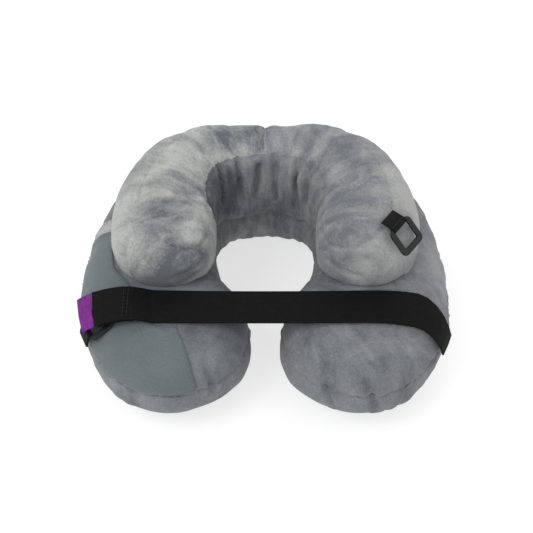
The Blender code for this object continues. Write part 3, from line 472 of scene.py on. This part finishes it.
def make_way(point):
    """The point moved in where the zip or the valve needs the room."""
    flat = Vector((point.x - zip_axis.x, point.y - zip_axis.y, 0))
    if point.y > 0 and zip_low - ZIP_MARGIN < point.z < zip_high + ZIP_MARGIN:
        if abs(atan2(flat.x, flat.y)) < zip_half_angle + ZIP_MARGIN / tape_radius:
            limit = tape_radius - ZIP_RECESS
            if flat.length > limit:
                flat = flat.normalized() * limit
                return Vector((zip_axis.x + flat.x, zip_axis.y + flat.y, point.z))
    offset = point - valve_middle
    level = offset.dot(valve_out)
    radial = (offset - valve_out * level).length
    skin = eyelet_level - valve_middle.dot(valve_out) - EYELET_GAP
    if radial < VALVE_REACH and point.y > 0:
        top = skin if radial > PIT_RADIUS else skin - PIT_DEPTH
        if level > top:
            return point - valve_out * (level - top)
    return point


def ripple(place, size):
    return noise.noise(place / size)


SNAP_REACH = 4 * MM              # points this near a seam on a panel's edge are moved onto it
NECK_GATHER_REACH, GATHER_REACH = 26 * MM, 10 * MM
GATHER_HEIGHT = 1.9 * MM
NECK_GATHER_SHARE, GATHER_SHARE = 0.75, 0.62
GROOVE_DEPTH, GROOVE_WIDTH = 1.9 * MM, 2.4 * MM


def sewn(obj, chamber, panels, looks, pleats, swells=()):
    """Seams, gathers and pleats on a swollen form, and its panels' materials with clean edges."""
    mesh = obj.data
    mesh.materials.clear()
    names = list(dict.fromkeys(looks.values()))
    for look in names:
        mesh.materials.append(LOOKS[look])
    bm = bmesh.new()
    bm.from_mesh(mesh)
    bm.normal_update()
    order = {panel: i for i, panel in enumerate(panels)}
    for face in bm.faces:
        face.material_index = order[seam_of(panels, face.calc_center_median())[0]]
    depth_tree = tree_of(nodes[chamber])
    moves = []
    for vert in bm.verts:
        panel, seam, gap = seam_of(panels, vert.co)
        kinds = {face.material_index for face in vert.link_faces}
        point = vert.co.copy()
        if len(kinds) > 1 and gap < SNAP_REACH:
            slide = seam - point
            slide -= vert.normal * slide.dot(vert.normal)
            point += slide
            gap = 0.0
        neck = panel.startswith("neck_wall")
        reach = NECK_GATHER_REACH if neck else GATHER_REACH
        gathered = NECK_GATHER_SHARE if neck else GATHER_SHARE
        gather = ripple(seam, 5.5 * MM) + 0.5 * ripple(seam, 11 * MM)
        lift = GATHER_HEIGHT * gather * exp(-gap / reach) * gathered
        lift -= GROOVE_DEPTH * exp(-(gap / GROOVE_WIDTH) ** 2)
        lift += 0.9 * MM * ripple(point, 38 * MM) + 0.35 * MM * ripple(point, 13 * MM)
        bulge = sum(amount * exp(-((point - middle).length / radius) ** 2)
                    for middle, radius, amount in swells)
        lift += bulge
        for start, end, depth, width in pleats:
            run = end - start
            share = min(max((point - start).dot(run) / run.length_squared, 0.0), 1.0)
            apart = point - (start + run * share)
            level = apart.dot(vert.normal)
            if abs(level) > PLEAT_REACH:
                continue
            away = (apart - vert.normal * level).length
            fade = min(1.0, 4 * (1 - share)) * min(1.0, 1.5 + share)
            tuck = exp(-(away / width) ** 2)
            ridge = PLEAT_RIDGE * exp(-((away - 2 * width) / width) ** 2)
            lift -= depth * fade * (tuck - ridge)
        point += vert.normal * lift
        place, out, _, _ = depth_tree.find_nearest(point)
        above = (point - place).dot(out) - SKIN_DEPTH
        room = headroom(point)
        room += bulge if room > 3 * MM else 0.0
        if above > room:
            point -= vert.normal * (above - room)
        point = make_way(point)
        if point.z < 0.0:
            point.z = 0.0
        moves.append(point)
    for vert, point in zip(bm.verts, moves):
        vert.co = point
    # one slot per look, in the order of first use
    for face in bm.faces:
        face.material_index = names.index(looks[panels[face.material_index]])
    bm.to_mesh(mesh)
    bm.free()
    mesh.shade_smooth()
    return obj


LOWER_PANELS = ["lower_top_panel_left", "lower_top_panel_right", "lower_bottom_panel", "neck_wall_lower"]
UPPER_PANELS = ["upper_crown_panel_left", "upper_crown_panel_right", "upper_side_band_left",
                "upper_side_band_right", "neck_wall_upper"]
LOWER_LOOKS = dict(zip(LOWER_PANELS, ("top_left", "top_right", "bottom", "neck")))
UPPER_LOOKS = dict(zip(UPPER_PANELS, ("crown_left", "crown_right", "band_left", "band_right", "neck")))

PLEAT_REACH = 14 * MM            # how far off the fabric a pleat's straight line may run
PLEAT_RIDGE = 0.45               # height of the ridge beside a tuck, as a share of its depth

# start, end, depth and half width of each tuck
LOWER_PLEATS = [
    (Vector((0.088, -0.126, 0.035)), Vector((0.074, -0.108, 0.073)), 4.2 * MM, 3.0 * MM),
    (Vector((0.053, -0.1225, 0.035)), Vector((0.046, -0.1146, 0.057)), 3.0 * MM, 2.6 * MM),
    (Vector((-0.0414, -0.1168, 0.044)), Vector((-0.047, -0.1088, 0.070)), 3.4 * MM, 2.6 * MM),
    (Vector((0.106, -0.118, 0.020)), Vector((0.112, -0.108, 0.050)), 2.2 * MM, 3.0 * MM),
    (Vector((-0.112, -0.108, 0.018)), Vector((-0.104, -0.104, 0.052)), 2.2 * MM, 3.0 * MM),
    (Vector((0.139, -0.050, 0.030)), Vector((0.134, -0.036, 0.070)), 2.4 * MM, 2.6 * MM),
]
LOWER_SWELLS = [
    (Vector((0.019, -0.094, 0.036)), 26 * MM, 4.6 * MM),
    (Vector((-0.021, -0.094, 0.036)), 26 * MM, 4.6 * MM),
]
UPPER_PLEATS = [
    (Vector((-0.0065, 0.086, 0.1335)), Vector((-0.0035, 0.052, 0.131)), 5.0 * MM, 2.4 * MM),
    (Vector((-0.0035, 0.052, 0.131)), Vector((-0.0110, 0.047, 0.080)), 6.0 * MM, 2.4 * MM),
    (Vector((-0.022, 0.052, 0.128)), Vector((-0.022, 0.046, 0.082)), 4.2 * MM, 2.2 * MM),
    (Vector((-0.037, 0.046, 0.128)), Vector((-0.038, 0.032, 0.084)), 4.2 * MM, 2.2 * MM),
    (Vector((0.008, 0.055, 0.128)), Vector((0.009, 0.046, 0.082)), 4.0 * MM, 2.2 * MM),
    (Vector((0.026, 0.053, 0.128)), Vector((0.028, 0.042, 0.086)), 4.4 * MM, 2.4 * MM),
    (Vector((0.037, 0.048, 0.128)), Vector((0.035, 0.036, 0.082)), 4.2 * MM, 2.2 * MM),
    (Vector((0.038, -0.030, 0.104)), Vector((0.078, -0.046, 0.100)), 1.8 * MM, 2.4 * MM),
    (Vector((-0.046, -0.034, 0.104)), Vector((-0.080, -0.047, 0.098)), 1.8 * MM, 2.4 * MM),
    (Vector((-0.104, 0.024, 0.134)), Vector((-0.062, 0.010, 0.137)), 1.2 * MM, 2.2 * MM),
    (Vector((-0.088, 0.060, 0.134)), Vector((-0.050, 0.040, 0.137)), 1.2 * MM, 2.4 * MM),
    (Vector((0.056, 0.030, 0.137)), Vector((0.088, 0.052, 0.136)), 1.0 * MM, 2.4 * MM),
]

lower = subdivided(inflate(remeshed("lower_cushion", "lower_air_chamber"), LOWER_PANELS))
sewn(lower, "lower_air_chamber", LOWER_PANELS, LOWER_LOOKS, LOWER_PLEATS, LOWER_SWELLS)
upper = subdivided(inflate(remeshed("upper_roll", "upper_air_chamber"), UPPER_PANELS))
sewn(upper, "upper_air_chamber", UPPER_PANELS, UPPER_LOOKS, UPPER_PLEATS)

for cushion, replaced, slot in (
        (lower, LOWER_PANELS + ["lower_air_chamber"], "velour_mid"),
        (upper, UPPER_PANELS + ["upper_air_chamber"], "velour_light")):
    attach(cushion, "pillow")
    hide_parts(*replaced)


# ---- Stitching ----
STITCH_PITCH = 3.1 * MM
STITCH_LENGTH = 2.2 * MM
STITCH_WIDTH = 0.6 * MM
STITCH_RISE = 0.1 * MM
WELL_ABOVE = 0.3
DOWN = Vector((0, 0, -1))


def stitches(name, body, run, look):
    """Rounded thread stitches laid end to end along a run of (place, normal) pairs."""
    bm = bmesh.new()
    for (place, normal), (ahead, _) in zip(run, run[1:]):
        along = (ahead - place).normalized()
        side = normal.cross(along).normalized()
        up = along.cross(side)
        lie = Matrix((along * STITCH_LENGTH / 2, side * STITCH_WIDTH / 2, up * STITCH_WIDTH / 2)).transposed()
        lie = Matrix.Translation((place + ahead) / 2 + up * STITCH_RISE) @ lie.to_4x4()
        bmesh.ops.create_icosphere(bm, subdivisions=2, radius=1.0, matrix=lie)
    obj = object_from(name, bm, look)
    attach(obj, body)
    return obj


def evenly(places):
    """The (place, normal) pairs of a line, thinned to one stitch pitch apart."""
    run = [places[0]]
    for place, normal in places[1:]:
        if (place - run[-1][0]).length >= STITCH_PITCH:
            run.append((place, normal))
    return run


def row_on(node, start, end):
    """A row on the upper face of a CAD node, between two points seen from above."""
    found = []
    steps = round((end - start).length / STITCH_PITCH)
    for i in range(steps + 1):
        spot = start.lerp(end, i / steps)
        place, normal, _, _ = node_tree(node).ray_cast(Vector((spot.x, spot.y, WELL_ABOVE)), DOWN)
        if place:
            found.append((place, normal))
    return found


def rim_run(bm, inset):
    """The open edge of a sheet walked once round, moved inwards by the inset."""
    start = next(vert for vert in bm.verts if vert.is_boundary)
    line, seen, vert = [], set(), start
    while vert and vert not in seen:
        seen.add(vert)
        inward = sum((face.calc_center_median() for face in vert.link_faces), Vector()) / len(vert.link_faces)
        inward = (inward - vert.co).normalized()
        line.append((vert.co + inward * inset, vert.normal.copy()))
        ahead = [edge.other_vert(vert) for edge in vert.link_edges if edge.is_boundary]
        vert = next((other for other in ahead if other not in seen), None)
    return evenly(line)


# ---- Phone pocket: a knit layer that follows the swollen cushion ----
HEM_INSET = 2.0 * MM


def layer(name, source, node, chamber, look, rise, thickness):
    """The outer face of a CAD panel laid on a cushion's swollen face, with its own clean outline."""
    inside = tree_of(nodes[chamber])
    skin = tree_of(source)
    bm = bmesh.new()
    bm.from_mesh(nodes[node].data)
    bmesh.ops.remove_doubles(bm, verts=bm.verts, dist=0.02 * MM)
    bm.normal_update()
    spare = [face for face in bm.faces
             if face.normal.dot(inside.find_nearest(face.calc_center_median())[1]) < 0.55]
    bmesh.ops.delete(bm, geom=spare, context="FACES")
    for _ in range(2):
        long_edges = [edge for edge in bm.edges if edge.calc_length() > 3.2 * MM]
        bmesh.ops.subdivide_edges(bm, edges=long_edges, cuts=1)
        bmesh.ops.triangulate(bm, faces=[face for face in bm.faces if len(face.verts) > 3])
    for vert in bm.verts:
        place, normal, _, _ = skin.find_nearest(vert.co)
        vert.co = place + normal * rise
    for _ in range(2):
        inner = [vert for vert in bm.verts if not vert.is_boundary]
        bmesh.ops.smooth_vert(bm, verts=inner, factor=0.5, use_axis_x=True, use_axis_y=True, use_axis_z=True)
    bm.normal_update()
    stitches(name + "_topstitch", "pillow", rim_run(bm, HEM_INSET), "thread_grey")
    obj = object_from(name, bm, look)
    solid = obj.modifiers.new("thickness", "SOLIDIFY")
    solid.thickness = thickness
    solid.offset = -1
    applied(obj)
    obj.data.shade_smooth()
    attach(obj, "pillow")
    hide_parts(node)
    return obj


pocket = layer("phone_pocket", lower, "phone_pocket_panel", "lower_air_chamber", "knit", 1.2 * MM, 0.9 * MM)
hem = layer("phone_pocket_mouth_hem", lower, "phone_pocket_hem", "lower_air_chamber", "hem",
            1.7 * MM, 1.4 * MM)

# ---- CAD pieces whose shape is right: better materials ----
FINISH = {
    "front_strap": "elastic", "strap_end_fold": "elastic", "strap_label_tag": "label",
    "ring_webbing_right": "webbing", "ring_webbing_left": "webbing", "ring_right": "plastic",
    "ring_left": "plastic", "strap_hook": "plastic", "zip_tape_upper": "tape", "zip_tape_lower": "tape",
    "zip_coil_upper": "coil", "zip_coil_lower": "coil", "zip_stop_left": "metal", "zip_stop_right": "metal",
    "zip_slider": "metal", "zip_pull": "metal", "valve_flange": "vinyl", "valve_eyelet": "plastic",
    "valve_plug": "vinyl", "valve_flap": "rubber", "valve_cap": "vinyl",
}
for node, look in FINISH.items():
    mesh = nodes[node].data
    mesh.materials.clear()
    mesh.materials.append(LOOKS[look])

# the elastic's folded end is sewn down by two rows of stitches across it
STRAP_FULL_WIDTH = 30 * MM
STRAP_STITCH_MARGIN = 2 * MM
for row, x in enumerate((-0.1085, -0.1120)):
    run = row_on("front_strap", Vector((x, strap_high.y - STRAP_FULL_WIDTH + STRAP_STITCH_MARGIN, 0)),
                 Vector((x, strap_high.y - STRAP_STITCH_MARGIN, 0)))
    stitches(f"strap_fold_stitch_{row}", "strap", run, "thread_pale")

# the right webbing is sewn to the cover beside its ring
swing = Vector(joints["ring_right_swing"]["axis"]).normalized()
web_middle = Vector(points_of(nodes["ring_webbing_right"].data).mean(axis=0))
web_run = row_on("ring_webbing_right", web_middle - swing * 7 * MM, web_middle + swing * 7 * MM)
if len(web_run) > 2:
    stitches("ring_webbing_stitch", "pillow", web_run, "thread_pale")

# ---- Floor, light, camera ----
bm = bmesh.new()
bmesh.ops.create_grid(bm, x_segments=2, y_segments=2, size=6.0)
floor = object_from("floor", bm)
floor.location.z = -0.4 * MM
floor_look = Shader("floor_white", 0.9, specular=0.05)
floor_look.colour(floor_look.ramp(floor_look.noise(3.0), ((0.0, (0.41,) * 3), (1.0, (0.43,) * 3))))
floor_look.bsdf.inputs["Emission Color"].default_value = (1.0, 1.0, 1.0, 1.0)
floor_look.bsdf.inputs["Emission Strength"].default_value = 0.64
floor.data.materials.append(floor_look.material)

world = bpy.data.worlds.new("studio")
bpy.context.scene.world = world
world.use_nodes = True
world.node_tree.nodes["Background"].inputs["Color"].default_value = (1.0, 1.0, 1.0, 1.0)
world.node_tree.nodes["Background"].inputs["Strength"].default_value = 0.92


def area_light(name, place, aim, size, power):
    lamp = bpy.data.lights.new(name, "AREA")
    lamp.shape = "DISK"
    lamp.size = size
    lamp.energy = power
    obj = bpy.data.objects.new(name, lamp)
    bpy.context.scene.collection.objects.link(obj)
    obj.location = place
    obj.rotation_euler = (Vector(aim) - Vector(place)).to_track_quat("-Z", "Y").to_euler()


area_light("key", (-0.9, -0.5, 1.5), (0, 0, 0.05), 0.9, 9.0)
area_light("back", (0.5, 1.3, 1.3), (0, 0, 0.08), 0.9, 5.0)

ELEVATION = radians(52)
DISTANCE = 1.0
AIM = Vector((0, 0, 0.060))
camera_data = bpy.data.cameras.new("camera")
camera_data.sensor_width = 36.0
camera_data.lens = 80.4
camera_data.shift_x = 0.0019
camera_data.shift_y = -0.0084
camera = bpy.data.objects.new("camera", camera_data)
bpy.context.scene.collection.objects.link(camera)
camera.location = AIM + DISTANCE * Vector((0, -cos(ELEVATION), sin(ELEVATION)))
camera.rotation_euler = (AIM - camera.location).to_track_quat("-Z", "Y").to_euler()
bpy.context.scene.camera = camera
bpy.context.scene.view_settings.view_transform = "Standard"
